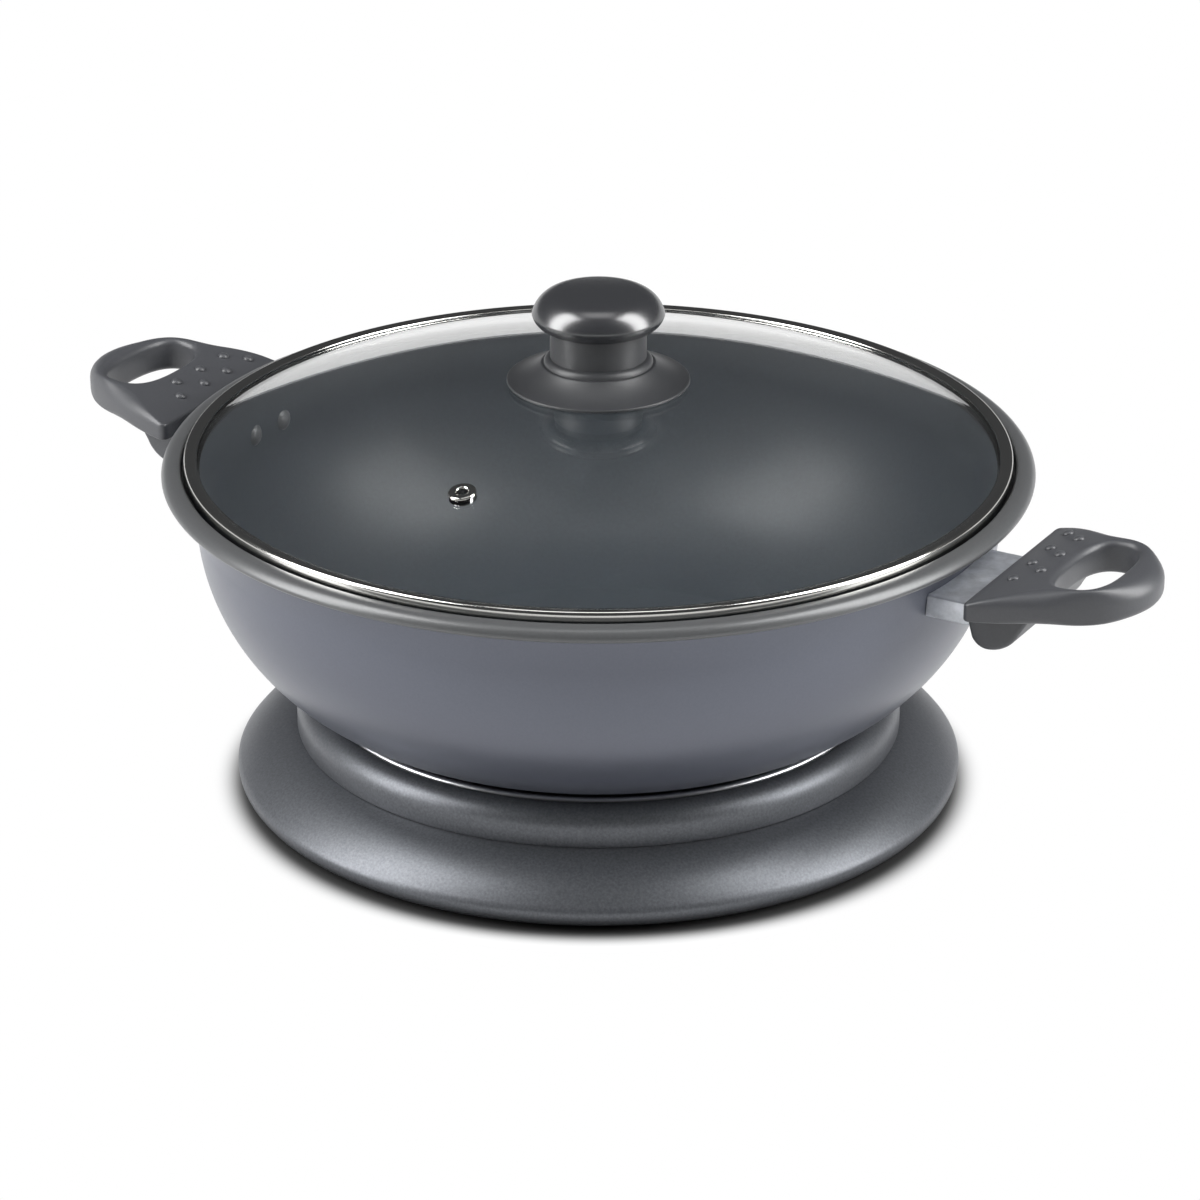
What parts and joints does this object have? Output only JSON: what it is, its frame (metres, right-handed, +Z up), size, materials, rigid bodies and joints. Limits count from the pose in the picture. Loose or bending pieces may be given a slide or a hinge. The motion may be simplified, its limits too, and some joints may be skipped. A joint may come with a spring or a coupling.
{
  "type": "electric wok",
  "caption": "Electric wok: a heated round base, a lift-off pan with side handles, a glass lid with a knob and a plug-in thermostat control at the rear.",
  "frame": {"origin": "on the table's plane, under the middle of the base", "axes": "+Z up; +X along the two handles, towards the right one as seen from the front; -Y towards the front and +Y towards the control"},
  "size_m": [0.473, 0.3829, 0.2034],
  "materials": {
    "rubber": "matt moulded rubber",
    "base_paint": "fine textured metallic charcoal paint",
    "bottom_steel": "matt black paint",
    "steel_screws": "zinc plated",
    "reflector_steel": "polished",
    "cast_aluminium": "as cast",
    "element_steel": "sheathed, dull",
    "ceramic": "unglazed",
    "pin_metal": "plated",
    "socket_plastic": "moulded phenolic",
    "pan_paint": "satin metallic blue grey outside, dark non-stick inside",
    "bracket_steel": "satin",
    "rivet_metal": "satin",
    "handle_plastic": "satin heat-proof moulding",
    "lid_glass": "clear tempered",
    "ring_steel": "polished",
    "gasket": "silicone",
    "control_plastic": "satin moulding",
    "lamp_red": "translucent",
    "dial_plastic": "satin moulding"
  },
  "bodies": {
    "base": {"rubber_foot_1": "rubber", "rubber_foot_2": "rubber", "rubber_foot_3": "rubber", "rubber_foot_4": "rubber", "bottom_plate": "bottom_steel", "base_skirt": "base_paint", "base_collar": "base_paint", "base_screws": "steel_screws", "heat_reflector": "reflector_steel", "hot_plate": "cast_aluminium", "heating_element": "element_steel", "element_seals": "ceramic", "terminal_pins": "pin_metal", "lower_spacers": "cast_aluminium", "upper_spacers": "cast_aluminium", "plate_bolts": "steel_screws", "thermal_fuse": "ceramic", "fuse_clip": "bracket_steel", "inlet_socket": "socket_plastic", "inlet_screws": "steel_screws"},
    "pan": {"pan_shell": "pan_paint", "handle_bracket_right": "bracket_steel", "handle_bracket_left": "bracket_steel", "bracket_rivets_right": "rivet_metal", "bracket_rivets_left": "rivet_metal", "handle_right": "handle_plastic", "handle_left": "handle_plastic", "handle_screws": "steel_screws"},
    "lid": {"lid_glass": "lid_glass", "lid_rim_ring": "ring_steel", "steam_vent_grommet": "ring_steel", "lid_knob": "handle_plastic", "knob_skirt": "handle_plastic", "knob_gasket": "gasket", "knob_washer": "steel_screws", "knob_screw": "steel_screws"},
    "thermostat_control": {"control_shell_top": "control_plastic", "control_shell_bottom": "control_plastic", "plug_block": "socket_plastic", "probe_rod": "pin_metal", "contact_sleeves": "pin_metal", "control_screws": "steel_screws", "pilot_lamp_lens": "lamp_red", "pilot_lamp": "lamp_red", "thermostat_switch": "ceramic"},
    "dial": {"temperature_dial": "dial_plastic", "dial_spindle": "bracket_steel"}
  },
  "joints": [
    {"name": "pan_lift", "type": "slide", "parent": "base", "child": "pan", "axis": [0, 0, 1], "range_m": [0, 0.15]},
    {"name": "lid_lift", "type": "slide", "parent": "pan", "child": "lid", "axis": [0, 0, 1], "range_m": [0, 0.12]},
    {"name": "control_unplug", "type": "slide", "parent": "base", "child": "thermostat_control", "axis": [0, 1, 0], "range_m": [0, 0.08]},
    {"name": "dial_turn", "type": "hinge", "parent": "thermostat_control", "child": "dial", "pos_m": [0, 0.1819, 0.047], "axis": [0, 0, -1], "range_deg": [0, 270]}
  ]
}
